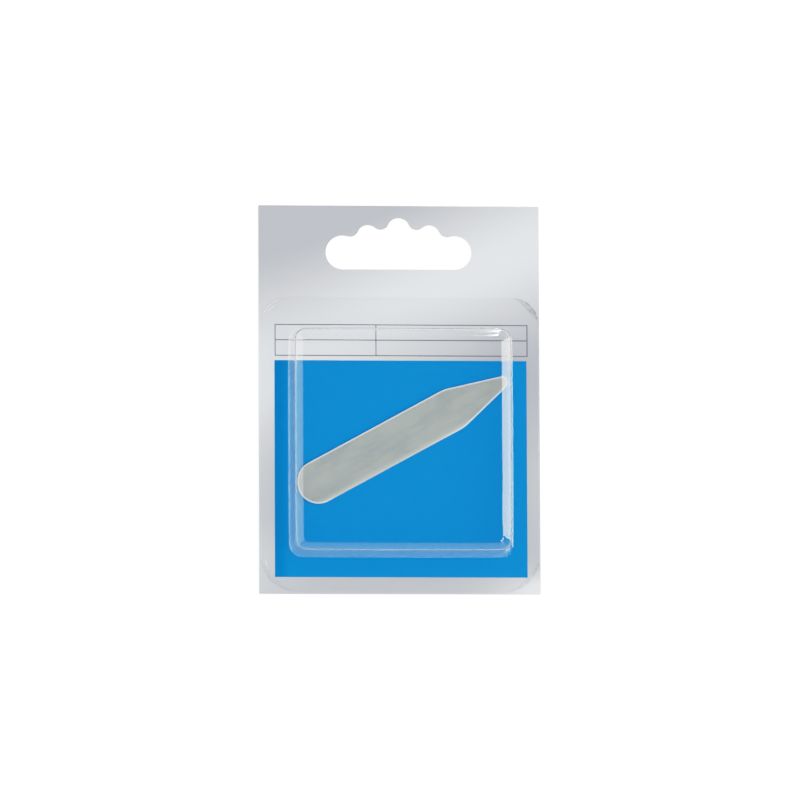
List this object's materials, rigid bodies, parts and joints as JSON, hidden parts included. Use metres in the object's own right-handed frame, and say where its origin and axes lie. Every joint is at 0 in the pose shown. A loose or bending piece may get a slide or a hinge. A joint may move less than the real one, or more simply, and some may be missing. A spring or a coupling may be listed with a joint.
{
  "type": "collar stay on a blister card",
  "caption": "Milky plastic collar stay with a round end and a tapered tip, lying in the clear square blister of a silver and blue hang card.",
  "frame": {"origin": "middle of the card's back face, where the part rests", "axes": "+X across the card, +Y along the card towards its hang hole, +Z out of the card's printed face through the blister"},
  "size_m": [0.065, 0.09, 0.01],
  "materials": {
    "printed_board": "satin",
    "clear_sheet": "gloss",
    "milky_plastic": "satin"
  },
  "bodies": {
    "root": {"card": "printed_board", "blister": "clear_sheet", "stay": "milky_plastic"}
  },
  "joints": []
}
